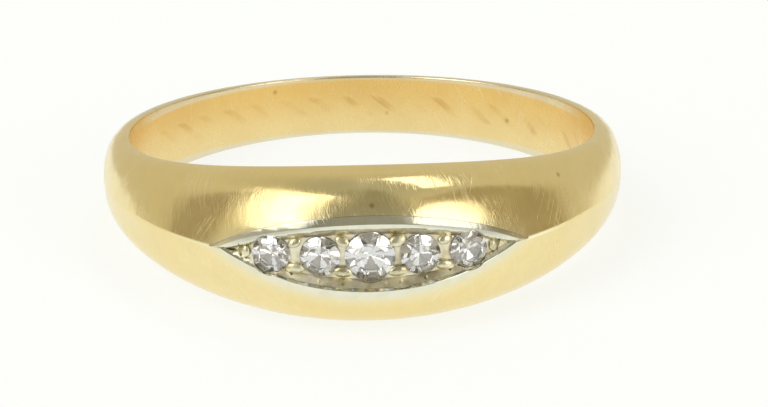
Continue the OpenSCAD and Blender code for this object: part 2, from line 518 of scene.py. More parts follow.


# %% [markdown]
# ### Yellow gold, outside
# Worn gold isn't one colour. Thin grime and skin oil cloud it, and solder makes it paler beside the plate.
# A thin pale line along the crest of each shoulder's ridge is a painted highlight, stronger on the right,
# standing in for the light that the crest catches. Each of these is a mask that mixes one more tint over
# the last.

# %% Gold: the outside's colour
def outside_colour(tree, place, parts, edge, off_crest):
    cloud = blend_range(tree, noise(tree, place, 240.0, 3.0), 0.35, 0.68)
    colour = mix_colour(tree, cloud, (0.88, 0.72, 0.34, 1), (0.90, 0.75, 0.39, 1))
    mottle = blend_range(tree, noise(tree, place, 1100.0, 4.0, 0.6), 0.38, 0.72)
    colour = mix_colour(tree, maths(tree, "MULTIPLY", mottle, 0.4), colour, (0.82, 0.69, 0.36, 1))
    solder = maths(tree, "MULTIPLY", blend_range(tree, edge, -0.45, 0.05), 0.6)
    colour = mix_colour(tree, solder, colour, (0.87, 0.80, 0.52, 1))
    # Painted highlight: a pale line along the ridge's crest, stronger towards the right.
    painted_crest_highlight = maths(tree, "MULTIPLY", blend_range(tree, off_crest, 0.00007, 0.00002),
                  blend_range(tree, edge, -1.5, -0.2))
    highlight_stronger_to_the_right = blend_range(tree, parts.outputs["X"], -0.003, 0.003, 0.3, 0.9)
    painted_crest_highlight = maths(tree, "MULTIPLY", painted_crest_highlight, highlight_stronger_to_the_right)
    return mix_colour(tree, painted_crest_highlight, colour, (1.0, 0.94, 0.68, 1))


# %% [markdown]
# ### Yellow gold, inside
# The bore is less polished than the outside. Its colour is painted deeper and more orange towards the top,
# a painted reflection standing in for light bounced between gold walls. Its far side has old strokes that
# are almost worn away. A cosine of the angle round the ring repeats one stroke, a share of the height makes
# it lean, and noise wears most of them off. They are a plain hatch that says nothing. The softened top and
# bottom edges of the back are painted paler and greyer, a painted highlight for the sheen that their
# rounding catches.

# %% Gold: the bore's strokes and colour
def worn_strokes(tree, place, parts, off_crest, far_side):
    turn = maths(tree, "ARCTAN2", parts.outputs["X"], parts.outputs["Y"])
    lean = maths(tree, "MULTIPLY", parts.outputs["Z"], 150.0)
    hatch = maths(tree, "COSINE", maths(tree, "MULTIPLY", maths(tree, "ADD", turn, lean), 44.0))
    strokes = blend_range(tree, hatch, 0.1, 1.0)
    middle = blend_range(tree, off_crest, 0.00048, 0.0003)
    worn = blend_range(tree, noise(tree, place, 700.0, 1.0), 0.42, 0.66)
    for share in (middle, worn, far_side, 0.45):
        strokes = maths(tree, "MULTIPLY", strokes, share)
    return strokes


def bore_colour_with_painted_bounce(tree, parts, strokes):
    # Painted reflection: deeper orange towards the top, for light bounced between gold walls.
    height = blend_range(tree, parts.outputs["Z"], -0.0011, 0.0008)
    colour = mix_colour(tree, height, (0.87, 0.695, 0.34, 1), (0.84, 0.585, 0.205, 1))
    return mix_colour(tree, strokes, colour, (0.62, 0.36, 0.09, 1))


# %% [markdown]
# ### Yellow gold, put together
# The colour is chosen by where a point lies, and the scratches, rubbing and pits go over all of it. The
# paler tints of the scratches and rubbing are painted sheen, standing in for the light that fine lines
# catch. Roughness comes from the same masks, so a scratch is duller as well as paler. The relief is a chain
# of bumps, each a few thousandths of a millimetre high: polish waves, brush marks, scratches, pits and
# strokes. Real cuts in the mesh would need millions of faces at this size.

# %% Gold: marks, gloss and relief
def gold_surface(tree, place):
    """The masks and the colour of the gold, in a dictionary."""
    masks = {
        "scratch": use_group(tree, scratches_group, place, scale=260.0, amount=0.5),
        "rubbing": use_group(tree, scratches_group, place, scale=620.0, amount=1.0),
        "pit": use_group(tree, pits_group, place, scale=900.0, share=0.16, size=0.14),
        "inside": use_group(tree, bore_wall_group, place),
    }
    edge = use_group(tree, boat_edge_group, place)
    parts = tree.nodes.new("ShaderNodeSeparateXYZ")
    tree.links.new(place, parts.inputs[0])
    off_crest = maths(tree, "ABSOLUTE", parts.outputs["Z"])
    far_side = blend_range(tree, parts.outputs["Y"], 0.001, 0.004)
    masks["strokes"] = worn_strokes(tree, place, parts, off_crest, far_side)
    outside = outside_colour(tree, place, parts, edge, off_crest)
    colour = mix_colour(tree, masks["inside"], outside, bore_colour_with_painted_bounce(tree, parts, masks["strokes"]))
    # Painted highlight: the back's top and bottom edges are painted paler and greyer, for the sheen that
    # their rounding catches.
    rim = maths(tree, "MULTIPLY", blend_range(tree, off_crest, 0.00096, 0.00108), far_side)
    # The scratch and rubbing tints are painted sheen, for the light that fine lines catch.
    over = ((rim, 0.8, (0.80, 0.75, 0.58, 1)), (masks["scratch"], 0.35, (0.97, 0.84, 0.50, 1)),
            (masks["rubbing"], 0.12, (0.97, 0.86, 0.56, 1)), (masks["pit"], 0.75, (0.30, 0.19, 0.05, 1)))
    for mask, share, tint in over:
        colour = mix_colour(tree, maths(tree, "MULTIPLY", mask, share), colour, tint)
    return masks, colour


def make_gold():
    material, tree, shader, place = new_material("yellow_gold")
    masks, colour = gold_surface(tree, place)
    connect(tree, colour, shader.inputs["Base Color"])
    shader.inputs["Metallic"].default_value = 1.0
    rough = blend_range(tree, noise(tree, place, 700.0, 3.0), 0.3, 0.75, 0.09, 0.22)
    for name, added in (("scratch", 0.12), ("rubbing", 0.06), ("inside", 0.14)):
        rough = maths(tree, "ADD", rough, maths(tree, "MULTIPLY", masks[name], added))
    connect(tree, rough, shader.inputs["Roughness"])
    wave = use_group(tree, waves_group, place, scale=330.0)
    brush = use_group(tree, brush_group, place, scale=3600.0)
    lines = maths(tree, "ADD", masks["scratch"], maths(tree, "MULTIPLY", masks["rubbing"], 0.4))
    strokes = maths(tree, "MULTIPLY", masks["strokes"], masks["inside"])
    normal = None
    for height, distance in ((wave, 8e-6), (brush, 4e-6), (lines, -1.6e-6),
                             (masks["pit"], -1e-5), (strokes, -2e-5)):
        normal = add_bump(tree, shader, height, distance, normal)
    return material


gold = make_gold()
print("finish:", gold.name, "with", len(gold.node_tree.nodes), "nodes")


# %% [markdown]
# ### White metal
# The plate is white gold or palladium, a little grey and yellow beside the stones' clear white. Its border
# is polished with the band. Inside, the graver left bright cuts that have since filled with grime, and the
# grains are rounder and duller. One function makes all three finishes, with its own tints, gloss and depth
# of cut for each. Along the lower border the solder has turned the metal yellow. Along the upper border,
# towards the sides, the colour is painted dark grey, a painted dark reflection in place of the bright ones.

# %% White metal, polished border and bright-cut recess
def make_white(name, tint, dark, rough_low, rough_high, cut_depth, solder_and_dark_reflection_share):
    material, tree, shader, place = new_material(name)
    scratch = use_group(tree, scratches_group, place, scale=380.0, amount=0.4)
    pit = use_group(tree, pits_group, place, scale=1500.0, share=0.08, size=0.16)
    wave = use_group(tree, waves_group, place, scale=900.0)
    brush = use_group(tree, brush_group, place, scale=6500.0)
    edge = use_group(tree, boat_edge_group, place)
    grime = blend_range(tree, noise(tree, place, 1700.0, 4.0, 0.6), 0.38, 0.7)
    colour = mix_colour(tree, grime, tint, dark)
    parts = tree.nodes.new("ShaderNodeSeparateXYZ")
    tree.links.new(place, parts.inputs[0])
    lower = blend_range(tree, parts.outputs["Z"], 0.0006, -0.0002, 0.25 * solder_and_dark_reflection_share, solder_and_dark_reflection_share)
    ragged = maths(tree, "ADD", edge, maths(tree, "MULTIPLY", noise(tree, place, 1200.0, 3.0), 0.2))
    solder = maths(tree, "MULTIPLY", blend_range(tree, ragged, 0.42, 0.06), lower)
    colour = mix_colour(tree, solder, colour, (0.88, 0.77, 0.45, 1))
    # Painted dark reflection: the upper border towards the sides is painted dark grey.
    sideways = blend_range(tree, maths(tree, "ABSOLUTE", parts.outputs["X"]), 0.0008, 0.0024)
    upper = blend_range(tree, parts.outputs["Z"], 0.0001, 0.0006, 0.0, 0.7 * solder_and_dark_reflection_share)
    rim_side = blend_range(tree, edge, 0.40, 0.25)
    painted_dark_reflection = maths(tree, "MULTIPLY", maths(tree, "MULTIPLY", sideways, upper), rim_side)
    colour = mix_colour(tree, painted_dark_reflection, colour, (0.34, 0.35, 0.32, 1))
    colour = mix_colour(tree, maths(tree, "MULTIPLY", pit, 0.7), colour, (0.16, 0.13, 0.08, 1))
    connect(tree, colour, shader.inputs["Base Color"])
    shader.inputs["Metallic"].default_value = 1.0
    rough = blend_range(tree, noise(tree, place, 900.0, 3.0), 0.3, 0.75, rough_low, rough_high)
    connect(tree, maths(tree, "ADD", rough, maths(tree, "MULTIPLY", scratch, 0.1)),
            shader.inputs["Roughness"])
    first = add_bump(tree, shader, wave, cut_depth)
    second = add_bump(tree, shader, brush, 0.0000012, first)
    add_bump(tree, shader, scratch, -0.0000012, second)
    return material


white_border = make_white("white_metal_border", (0.83, 0.82, 0.68, 1), (0.77, 0.76, 0.60, 1),
                          0.09, 0.18, 0.000006, 0.75)
white_cut = make_white("white_metal_cut", (0.93, 0.88, 0.70, 1), (0.60, 0.53, 0.34, 1),
                       0.30, 0.50, 0.000016, 0.0)
white_grain = make_white("white_metal_grain", (0.82, 0.78, 0.58, 1), (0.54, 0.48, 0.29, 1),
                         0.24, 0.40, 0.000014, 0.0)
print("finishes:", white_border.name, white_cut.name, white_grain.name)


# %% [markdown]
# ### Diamond
# A diamond bends light more than any glass, by an index of 2.42, and that alone gives it its
# sparkle. A little of it is left solid instead of clear, as old stones carry a film of grease,
# and a faint cloud keeps the five from looking like one stone copied.

# %% Diamond
def make_diamond():
    material, tree, shader, place = new_material("diamond")
    haze = blend_range(tree, noise(tree, place, 1400.0, 2.0), 0.4, 0.7)
    tint = mix_colour(tree, haze, (1.0, 0.995, 1.0, 1), (0.97, 0.955, 0.96, 1))
    connect(tree, tint, shader.inputs["Base Color"])
    shader.inputs["Roughness"].default_value = 0.015
    shader.inputs["IOR"].default_value = 2.42
    shader.inputs["Transmission Weight"].default_value = 0.95
    return material


diamond = make_diamond()
print("finish:", diamond.name)


# %% [markdown]
# ## The gold band
# On the bench the band is rolled as a D-shaped wire, bent round a stick and filed to its taper.
# Here its section is drawn once at the head, at full size, and spun round the finger. Then each
# spoke of the wheel is scaled down by the rules above, about the point where it meets the bore,
# so the bore stays round. A subdivision surface rounds off what is left of the facets.

# %% Draw the section at the head
def head_section():
    """The band's section at the head as (radius, z) points, up the bore wall and over the dome."""
    wall = HEAD_HALF - EDGE
    bore_steps = [-1, -0.96, -0.6, 0, 0.6, 0.96, 1]
    points = [(BORE_R, wall * step) for step in bore_steps]
    edge = [math.radians(q) for q in (30, 60)]
    upper = [(BORE_R + EDGE * (1 - math.cos(q)), wall + EDGE * math.sin(q)) for q in edge]
    dome = []
    for step in range(dome_steps + 1):
        p = math.radians(90 - 180 * step / dome_steps)
        rise = math.cos(p) ** (2 / DOME_N) if abs(math.cos(p)) > 1e-9 else 0.0
        z = HEAD_HALF * math.copysign(abs(math.sin(p)) ** (2 / DOME_N), p)
        dome.append((BORE_R + EDGE + (HEAD_T - EDGE) * rise, z))
    lower = [(radius, -z) for radius, z in reversed(upper)]
    return points + upper + dome + lower


dome_steps = 18
section = head_section()
clear_selection()
bpy.ops.mesh.primitive_circle_add(vertices=len(section), radius=1)
band = bpy.context.object
for vert, (radius, z) in zip(band.data.vertices, section):
    vert.co = around(0, radius, z)
print("section points:", len(section))

# %% [markdown]
# ### From one section to a whole band
# Spin copies the section round the finger's axis and joins each copy to the last. The first and
# last copies meet, so their doubled points are merged, and after that the normals are turned
# outwards. Each spoke is then picked by its angle and resized. The last resize makes up for
# what the subdivision surface pulls in, so that the bore keeps its true size.

# %% Spin it, and taper every spoke
SPOKES = 72
bpy.ops.object.mode_set(mode="EDIT")
bpy.ops.mesh.select_all(action="SELECT")
bpy.ops.mesh.spin(steps=SPOKES, angle=2 * math.pi, center=(0, 0, 0), axis=(0, 0, 1))
bpy.ops.mesh.select_all(action="SELECT")
bpy.ops.mesh.remove_doubles(threshold=0.0001)
bpy.ops.mesh.normals_make_consistent(inside=False)
spoke_angle = 2 * math.pi / SPOKES
for spoke in range(SPOKES):
    a = spoke * spoke_angle
    pick(band, lambda vert: round(math.atan2(vert.co.x, -vert.co.y) / spoke_angle) % SPOKES == spoke)
    thin = thickness(a) / HEAD_T
    narrow = half_width(a) / HEAD_HALF
    bpy.ops.transform.resize(value=(thin, thin, narrow), center_override=around(a, BORE_R, 0))
bpy.ops.mesh.select_all(action="SELECT")
swell = 3 / (2 + math.cos(spoke_angle))
bpy.ops.transform.resize(value=(swell, swell, 1), center_override=(0, 0, 0))
bpy.ops.object.mode_set(mode="OBJECT")
apply_modifier(band, "SUBSURF", levels=2, render_levels=2)
print("spokes:", SPOKES, "band faces:", len(band.data.polygons))

# %% [markdown]
# ### The shoulders' ridges
# Where the upper and lower halves of a shoulder were filed, a soft ridge is left between them.
# It can't be seen from its outline, but it splits the reflections in two. It could be a crease
# on the coarse mesh. Moving the fine mesh's points by a rule is smoother, and the rule fades to
# nothing at the plate and at the back. Points of the bore stay where they are.

# %% Raise the ridge that runs down each shoulder from the plate's tip
for vert in band.data.vertices:
    a = math.atan2(vert.co.x, -vert.co.y)
    if vert.co.xy.length > BORE_R + 2 * EDGE:
        vert.co += around(a, ridge(a, vert.co.z), 0)
print("band faces:", len(band.data.polygons), "size:", [round(x, 2) for x in band.dimensions])


# %% [markdown]
# ## Boat-shaped blocks
# The plate and the pocket that it fits share one outline, so one function makes both. A plane
# drawing is the easiest place to model a border, a lip and a recess, so the block is modelled
# flat, lying along X with its face to -Y. Its depth is counted in levels: 0 is the dome, 1 is
# the floor of the recess and 2 is the underside. Then it is sliced finely and laid round the
# dome, each level going to its own radius.

# %% A flat boat and its slices
def flat_boat(half_length, half_height, top_level, low_level):
    """A closed block with two round arcs for sides, between two levels."""
    count = 96
    clear_selection()
    bpy.ops.mesh.primitive_circle_add(vertices=count, radius=1, fill_type="NGON")
    block = bpy.context.object
    arc_r = arc_radius(half_length, half_height)
    for index, vert in enumerate(block.data.vertices):
        turn = 2 * math.pi * index / count
        x = half_length * math.cos(turn)
        z = math.sqrt(arc_r**2 - x**2) - arc_r + half_height
        vert.co = (x, low_level, z if math.sin(turn) > 0 else -z)
    bpy.ops.object.mode_set(mode="EDIT")
    bpy.ops.mesh.select_all(action="SELECT")
    bpy.ops.mesh.extrude_region_move(
        TRANSFORM_OT_translate={"value": (0, top_level - low_level, 0)}
    )
    bpy.ops.mesh.select_all(action="SELECT")
    bpy.ops.mesh.normals_make_consistent(inside=False)
    return block


def slice_block(block, half_length, half_height, step):
    """Cuts the whole mesh along evenly spaced planes, without taking anything away."""
    cuts = [((half_length * (2 * i / n - 1), 0, 0), (1, 0, 0))
            for n in [2 * round(half_length / step)] for i in range(1, n)]
    cuts += [((0, 0, half_height * (2 * i / n - 1)), (0, 0, 1))
             for n in [2 * round(half_height / step)] for i in range(1, n)]
    for point, normal in cuts:
        bpy.ops.mesh.select_all(action="SELECT")
        bpy.ops.mesh.bisect(plane_co=point, plane_no=normal, threshold=0.0005)
    bpy.ops.object.mode_set(mode="OBJECT")


# %% [markdown]
# ### Laying a flat block round the dome
# A Simple Deform or Curve modifier can bend a block, but neither can follow a dome that gets
# lower towards the sides. Here each point's distance along the block becomes an angle and its
# level becomes a radius. At the tips the dome runs out, so the floor rises there to stay below.

# %% Bend a flat block round the bore
TIP_DEPTH = 0.2


def floor_radius(a):
    return min(FLOOR_R, dome_radius(a, 0) - TIP_DEPTH)


def lay_round_dome(block):
    """Bends a flat block round the bore: x becomes the angle, and the level becomes the radius."""
    for vert in block.data.vertices:
        a, level, z = vert.co.x / TOP_R, vert.co.y, vert.co.z
        dome, floor = dome_radius(a, z), floor_radius(a)
        if level <= 0:
            radius = dome - level
        elif level <= 1:
            radius = dome + (floor - dome) * level
        else:
            radius = floor + (UNDER_R - floor) * (level - 1)
        vert.co = around(a, radius, z)


print(f"floor of the recess: {floor_radius(0):.2f} mm from the axis, {floor_radius(0.5):.2f} at its tips")


# %% [markdown]
# ### The pocket
# The plate is let into the gold, so the head needs a pocket of exactly its outline. The block
# reaches above the dome, because a cutter should never end in the same face as what it cuts.

# %% Sink the pocket into the head
SLICE = 0.2
pocket = flat_boat(boat_l, PLATE_HALF_H, -0.3, 2)
slice_block(pocket, boat_l, PLATE_HALF_H, SLICE)
lay_round_dome(pocket)
cut_away(band, pocket)
print("shank with its pocket:", len(band.data.polygons), "faces")

# %% [markdown]
# ## Where the stones sit
# Five stones stand a fixed angle apart. Each has a seat: a straight wall round the girdle, a
# cone under it for the pavilion, and a light hole down to the finger, so that the stone can be
# cleaned from behind. One cutting tool, turned like a real bur, is modelled for a stone of one
# millimetre and copied at each stone's size.

# %% The stones' places
PITCH = math.radians(9.6)
STONES = {
    "stone_left_outer": (-2 * PITCH, 1.36),
    "stone_left_inner": (-PITCH, 1.42),
    "stone_centre": (0.0, 1.76),
    "stone_right_inner": (PITCH, 1.42),
    "stone_right_outer": (2 * PITCH, 1.36),
}


def outward(a, radius, z=0.0):
    """Turns local +Z to point out of the dome at an angle, with the origin at a radius."""
    turn = Matrix.Rotation(a, 4, "Z") @ Matrix.Rotation(math.radians(90), 4, "X")
    return Matrix.Translation(around(a, radius, z)) @ turn


print("stones:", {name: f"{math.degrees(a):.1f} deg, {size} mm" for name, (a, size) in STONES.items()})

# %% [markdown]
# ### The bur
# It starts as a cylinder for the girdle. Its lower face is inset, pushed down and narrowed for
# the pavilion's cone, and pushed down once more for the light hole.

# %% The seat tool
def seat_tool(a, size):
    """The bur that cuts one seat and its light hole."""
    clear_selection()
    bpy.ops.mesh.primitive_cylinder_add(vertices=48, radius=0.53, depth=0.7, location=(0, 0, 0.31))
    tool = bpy.context.object
    bpy.ops.object.transform_apply(location=True)
    bpy.ops.object.mode_set(mode="EDIT")
    pick(tool, lambda face: face.normal.z < -0.9, "faces")
    bpy.ops.mesh.inset(thickness=0.03, depth=0)
    bpy.ops.mesh.extrude_region_move(TRANSFORM_OT_translate={"value": (0, 0, -0.17)})
    bpy.ops.transform.resize(value=(0.6, 0.6, 1), center_override=(0, 0, 0))
    bpy.ops.mesh.extrude_region_move(TRANSFORM_OT_translate={"value": (0, 0, -1.9)})
    bpy.ops.object.mode_set(mode="OBJECT")
    tool.data.transform(outward(a, GIRDLE_R) @ Matrix.Scale(size, 4))
    return tool


def all_seats():
    tools = [seat_tool(a, size) for a, size in STONES.values()]
    clear_selection()
    for tool in tools:
        tool.select_set(True)
    bpy.context.view_layer.objects.active = tools[0]
    bpy.ops.object.join()
    return bpy.context.object


# %% [markdown]
# ### Light holes
# The same burs that seat the stones go right through into the bore. The band needs no more work
# after this, so it is shrunk to metres and takes the place of the plain shank.

# %% Open the light holes and finish the band
cut_away(band, all_seats())
finish_piece(band, "shank_gold", "shank", gold)


# %% [markdown]
# ## The boat plate
# The plate is a boat of white metal, soldered flush into the pocket. Its border keeps the shape
# of the dome. Inside the border the setter has cut a bright lip, which tips the light down, and
# then a wall that slopes to the floor on which the stones stand. Each ring of faces is extruded
# from the last and resized, so all the outlines stay boat-shaped.

# %% Border, lip, wall and floor
SEAM = 0.006
RECESS_A = math.radians(29)
recess_l = RECESS_A * TOP_R
plate = flat_boat(boat_l - SEAM, PLATE_HALF_H - SEAM, 0, 2)
outline = (boat_l - SEAM, PLATE_HALF_H - SEAM, 0.0)
rings = {
    "lip": (recess_l + 0.20, 1.20, 0.06, 0.0),
    "edge": (recess_l, 1.06, 0.0, 0.38),
    "foot": (recess_l - 0.26, 0.80, 0.0, 1.0),
}
pick(plate, lambda face: face.normal.y < -0.9, "faces")
depth = 0.0
for length, height, shift, level in rings.values():
    bpy.ops.mesh.extrude_region_move()
    share = (length / outline[0], 1, height / outline[1])
    bpy.ops.transform.resize(value=share, center_override=(0, 0, outline[2]))
    bpy.ops.transform.translate(value=(0, level - depth, shift - outline[2]))
    outline = (length, height, shift)
    depth = level
print("ring of faces sizes:", {name: ring[:2] for name, ring in rings.items()})


# %% [markdown]
# ### Soft edges, and the bend
# A bright-cut lip has crisp edges, but none is perfectly sharp. The lip's edges get a narrow
# round bevel and the outer rim a tiny flat one, which leaves a hairline where the plate meets
# the gold. The bevels are made while the plate is flat, since their edges are easy to pick
# there. Then the plate is sliced, bent round the dome, and cut for its stones.

# %% Soften the lip's edges, slice the plate and lay it round the dome
def is_ring_edge(edge):
    first, second = (vert.co for vert in edge.verts)
    return abs(first.y - second.y) < 0.01 and first.y < 0.9 and edge.calc_face_angle(0) > 0.2


def on_outer_rim(edge):
    return is_ring_edge(edge) and any(abs(face.normal.y) < 0.1 for face in edge.link_faces)


pick(plate, lambda edge: is_ring_edge(edge) and not on_outer_rim(edge), "edges")
bpy.ops.mesh.bevel(offset=0.035, segments=2, affect="EDGES")
pick(plate, on_outer_rim, "edges")
bpy.ops.mesh.bevel(offset=0.01, segments=1, affect="EDGES")
slice_block(plate, boat_l - SEAM, PLATE_HALF_H - SEAM, 0.15)
lay_round_dome(plate)
cut_away(plate, all_seats())
print("plate faces:", len(plate.data.polygons))

# %% [markdown]
# ### Graver cuts
# A grain is raised by pushing a graver into the metal, and the push leaves a short V-shaped
# furrow behind it. More furrows run into the two tips of the boat. Each one is cut with a thin
# four-sided spike that lies on the surface and digs in at one end.

# %% Cut the furrows
def furrow_tool(a, z, slant, length, width, depth, radius):
    """A spike lying on the surface at an angle and height. Its slant is from the Z direction."""
    clear_selection()
    bpy.ops.mesh.primitive_cone_add(vertices=4, radius1=width / 2, radius2=0.02, depth=length)
    tool = bpy.context.object
    lean = Matrix.Rotation(slant, 4, "Z") @ Matrix.Rotation(math.radians(84), 4, "X")
    squash = Matrix.Diagonal((1, 2 * depth / width, 1, 1))
    tool.data.transform(outward(a, radius, z) @ lean @ squash)
    return tool


def wall_radius(a, z):
    """Radius of the recess's floor and sloping wall, for things that stand on them."""
    out = max(0.0, min(1.0, (abs(z) - 0.80) / 0.26))
    floor = floor_radius(a)
    return floor + (dome_radius(a, z) - floor) * 0.67 * out


# Each furrow: degrees from the head's middle, height, slant in degrees, length and width in mm.
furrows = [
    (-14.4, 0.86, -20, 0.42, 0.16), (-4.9, 0.90, 12, 0.36, 0.15), (4.6, 0.88, -14, 0.40, 0.18),
    (14.2, 0.86, 18, 0.42, 0.18), (-12.9, 0.98, 24, 0.34, 0.15), (6.1, 0.94, 30, 0.30, 0.13),
    (-14.8, -0.86, 16, 0.44, 0.16), (-5.2, -0.94, -14, 0.40, 0.17), (3.2, -0.96, 28, 0.46, 0.17),
    (5.6, -0.92, -16, 0.40, 0.16), (14.9, -0.84, -24, 0.40, 0.16), (-9.6, -0.97, 10, 0.30, 0.12),
    (10.4, -0.95, -8, 0.30, 0.12), (-25.6, 0.02, 4, 0.62, 0.24), (25.5, 0.04, -10, 0.60, 0.22),
    (-27.4, 0.0, 84, 0.50, 0.16), (-24.2, -0.28, 40, 0.4, 0.14), (24.3, -0.26, -40, 0.4, 0.14),
    (17.6, 0.86, -4, 0.30, 0.13), (-17.9, 0.84, 8, 0.28, 0.12),
]
cutters = []
for degrees, z, slant, length, width in furrows:
    a = math.radians(degrees)
    radius = wall_radius(a, z)
    tool = furrow_tool(a, z, math.radians(slant), 1.3 * length, 1.5 * width, 0.8 * width, radius)
    cutters.append(tool)
for tool in cutters:
    cut_away(plate, tool)
print("furrows cut:", len(furrows), "plate faces:", len(plate.data.polygons))

# %% [markdown]
# ### Two finishes on one piece
# The polished border and the rough recess are one piece of metal. Each face is given one of two
# materials by how far it lies below the dome, so the line between them follows the lip.

# %% Give the border and the cut recess their finishes
plate.data.materials.append(white_border)
plate.data.materials.append(white_cut)
only(plate)
bpy.ops.object.mode_set(mode="EDIT")


def is_cut(face):
    point = face.calc_center_median()
    a = math.atan2(point.x, -point.y)
    return math.hypot(point.x, point.y) < dome_radius(a, point.z) - 0.16


print("faces in the recess:", pick(plate, is_cut, "faces"))
plate.active_material_index = 1
bpy.ops.object.material_slot_assign()
bpy.ops.object.mode_set(mode="OBJECT")
finish_piece(plate, "boat_plate", "setting_plate")


# %% [markdown]
# ## Single-cut diamonds
# A single cut is the old, simple cut for small stones: a flat table, eight facets on the crown,
# a thin girdle, eight facets on the pavilion and a little flat culet. A cutter grinds each facet
# with a flat wheel, and so does the code. A round blank is cut by a plane for each facet, and
# the hole that each plane leaves is filled. Hand-cut stones are never quite even, so each facet
# is off by a little.

# %% A grinding wheel, and how uneven it is
def wobble(seed):
    """A repeatable small number from -1 to 1."""
    value = math.sin(seed * 12.9898 + 4.1414) * 43758.5453
    return 2 * (value - math.floor(value)) - 1


def grind(point, normal):
    bpy.ops.mesh.select_all(action="SELECT")
    bpy.ops.mesh.bisect(plane_co=point, plane_no=normal, use_fill=True, clear_outer=True,
                        threshold=0.00001)


# %% [markdown]
# ### The order of the facets
# The table is ground first and the culet second, as they set the stone's height. Then each of
# the eight turns grinds one crown facet and the pavilion facet below it, both starting from the
# girdle's edge. Where a plane grazes a point it can leave tiny edges, so doubles are merged.

# %% A single-cut stone
def single_cut(seed, table=0.60, crown=0.14, girdle=0.04, pavilion=0.43, culet=0.06):
    """A stone of diameter 1 with its girdle at the origin and its table toward +Z."""
    clear_selection()
    bpy.ops.mesh.primitive_cylinder_add(vertices=32, radius=0.5, depth=2)
    stone = bpy.context.object
    bpy.ops.object.mode_set(mode="EDIT")
    top = girdle / 2 + crown
    low = girdle / 2 + pavilion
    grind((0, 0, top), (0.012 * wobble(seed), 0.012 * wobble(seed + 1), 1))
    grind((0, 0, -low), (0, 0, -1))
    reach = math.cos(math.pi / 8)
    for facet in range(8):
        turn = math.radians(45 * facet + 2.0 * wobble(seed + 3 * facet))
        out = Vector((math.cos(turn), math.sin(turn), 0))
        rise = crown * (1 + 0.07 * wobble(seed + 5 * facet))
        run = 0.5 - table / 2 * reach
        rim = out * 0.5 + Vector((0, 0, girdle / 2))
        grind(rim, (out.x * rise, out.y * rise, run))
        fall = pavilion * (1 + 0.03 * wobble(seed + 7 * facet))
        rim = out * 0.5 - Vector((0, 0, girdle / 2))
        grind(rim, (out.x * fall, out.y * fall, -(0.5 - culet / 2 * reach)))
    bpy.ops.mesh.select_all(action="SELECT")
    bpy.ops.mesh.remove_doubles(threshold=0.0005)
    bpy.ops.mesh.normals_make_consistent(inside=False)
    bpy.ops.object.mode_set(mode="OBJECT")
    return stone


# %% [markdown]
# ### Setting the stones
# A setter never lines up the facets of small stones, so each is turned by its own angle and
# tipped by a degree or two. The stones are a hundredth smaller than their seats.

# %% Set the five stones
stone_turns = {"stone_left_outer": 8, "stone_left_inner": 17, "stone_centre": 3,
               "stone_right_inner": 26, "stone_right_outer": 12}
for seed, (name, (a, size)) in enumerate(STONES.items()):
    stone = single_cut(10 * seed + 1)
    spin = Matrix.Rotation(math.radians(stone_turns[name]), 4, "Z")
    tip = Matrix.Rotation(math.radians(2.5 * wobble(seed + 40)), 4, "X")
    lean = Matrix.Rotation(math.radians(2.5 * wobble(seed + 60)), 4, "Y")
    stone.data.transform(outward(a, GIRDLE_R) @ tip @ lean @ spin @ Matrix.Scale(size * 0.99, 4))
    finish_piece(stone, name.replace("stone", "diamond"), name, diamond, 1)


# %% [markdown]
# ## Grains
# A grain is a curl of the plate's own metal, raised by the graver, pushed over the edge of a
# stone and rounded with a hollow punch. It stands between two stones and leans on both. A ball
# is pressed wider than it is high, and its underside is cut flat where it joins the floor.

# %% A grain
def grain(name, a, z, size, wide=1.0, high=1.0, turn=0.0, lean=0.0):
    clear_selection()
    bpy.ops.mesh.primitive_uv_sphere_add(segments=28, ring_count=18, radius=0.5)
    bead = bpy.context.object
    bpy.ops.object.mode_set(mode="EDIT")
    bpy.ops.mesh.select_all(action="SELECT")
    bpy.ops.transform.resize(value=(wide, high, 0.62))
    bpy.ops.transform.rotate(value=-turn, orient_axis="Z", center_override=(0, 0, 0))
    bpy.ops.mesh.bisect(plane_co=(0, 0, -0.2), plane_no=(0, 0, -1), use_fill=True, clear_outer=True)
    pick(bead, lambda vert: vert.co.z > 0.05)
    bpy.ops.transform.resize(value=(1, 1, 0.72), center_override=(0, 0, 0.05))
    bpy.ops.transform.vertex_random(offset=0.008, uniform=0, normal=1, seed=round(abs(a) * 100))
    bpy.ops.object.mode_set(mode="OBJECT")
    bead.data.transform(outward(a, GIRDLE_R + 0.02, z)
                        @ Matrix.Rotation(lean, 4, "X") @ Matrix.Scale(size, 4))
    finish_piece(bead, name.replace("grain", "bead"), name, white_grain, 60)


# %% [markdown]
# ### Where the grains stand
# One stands above and one below each gap between two stones, midway between the stones' edges
# and not between their centres, and one at each end of the row. The upper ones are smaller and
# more pushed over. No two are quite alike.

# %% Raise the grains
def gap_angle(first, second):
    """The angle between two stones at which the gap between their edges is centred."""
    (a, size_a), (b, size_b) = STONES[first], STONES[second]
    return (a + b) / 2 + (size_a - size_b) / 4 / GIRDLE_R


UPPER_SIZES = (0.44, 0.48, 0.56, 0.45)
names = list(STONES)
for index, (left, right) in enumerate(zip(names, names[1:]), start=1):
    a = gap_angle(left, right)
    inner = index in (2, 3)
    height = 0.54 if inner else 0.44
    size = UPPER_SIZES[index - 1]
    grain(f"grain_upper_{index}", a, height + 0.03, size, 1.15, 0.8, 0.5 * wobble(index), -0.3)
    grain(f"grain_lower_{index}", a, -height, 0.58, 1.2, 0.68, 0.15 * wobble(index + 9), 0.1)
grain("grain_left_tip", math.radians(-24.3), 0, 0.4, 0.8, 1.05)
grain("grain_right_tip", math.radians(24.3), 0.02, 0.4, 0.75, 1.0)


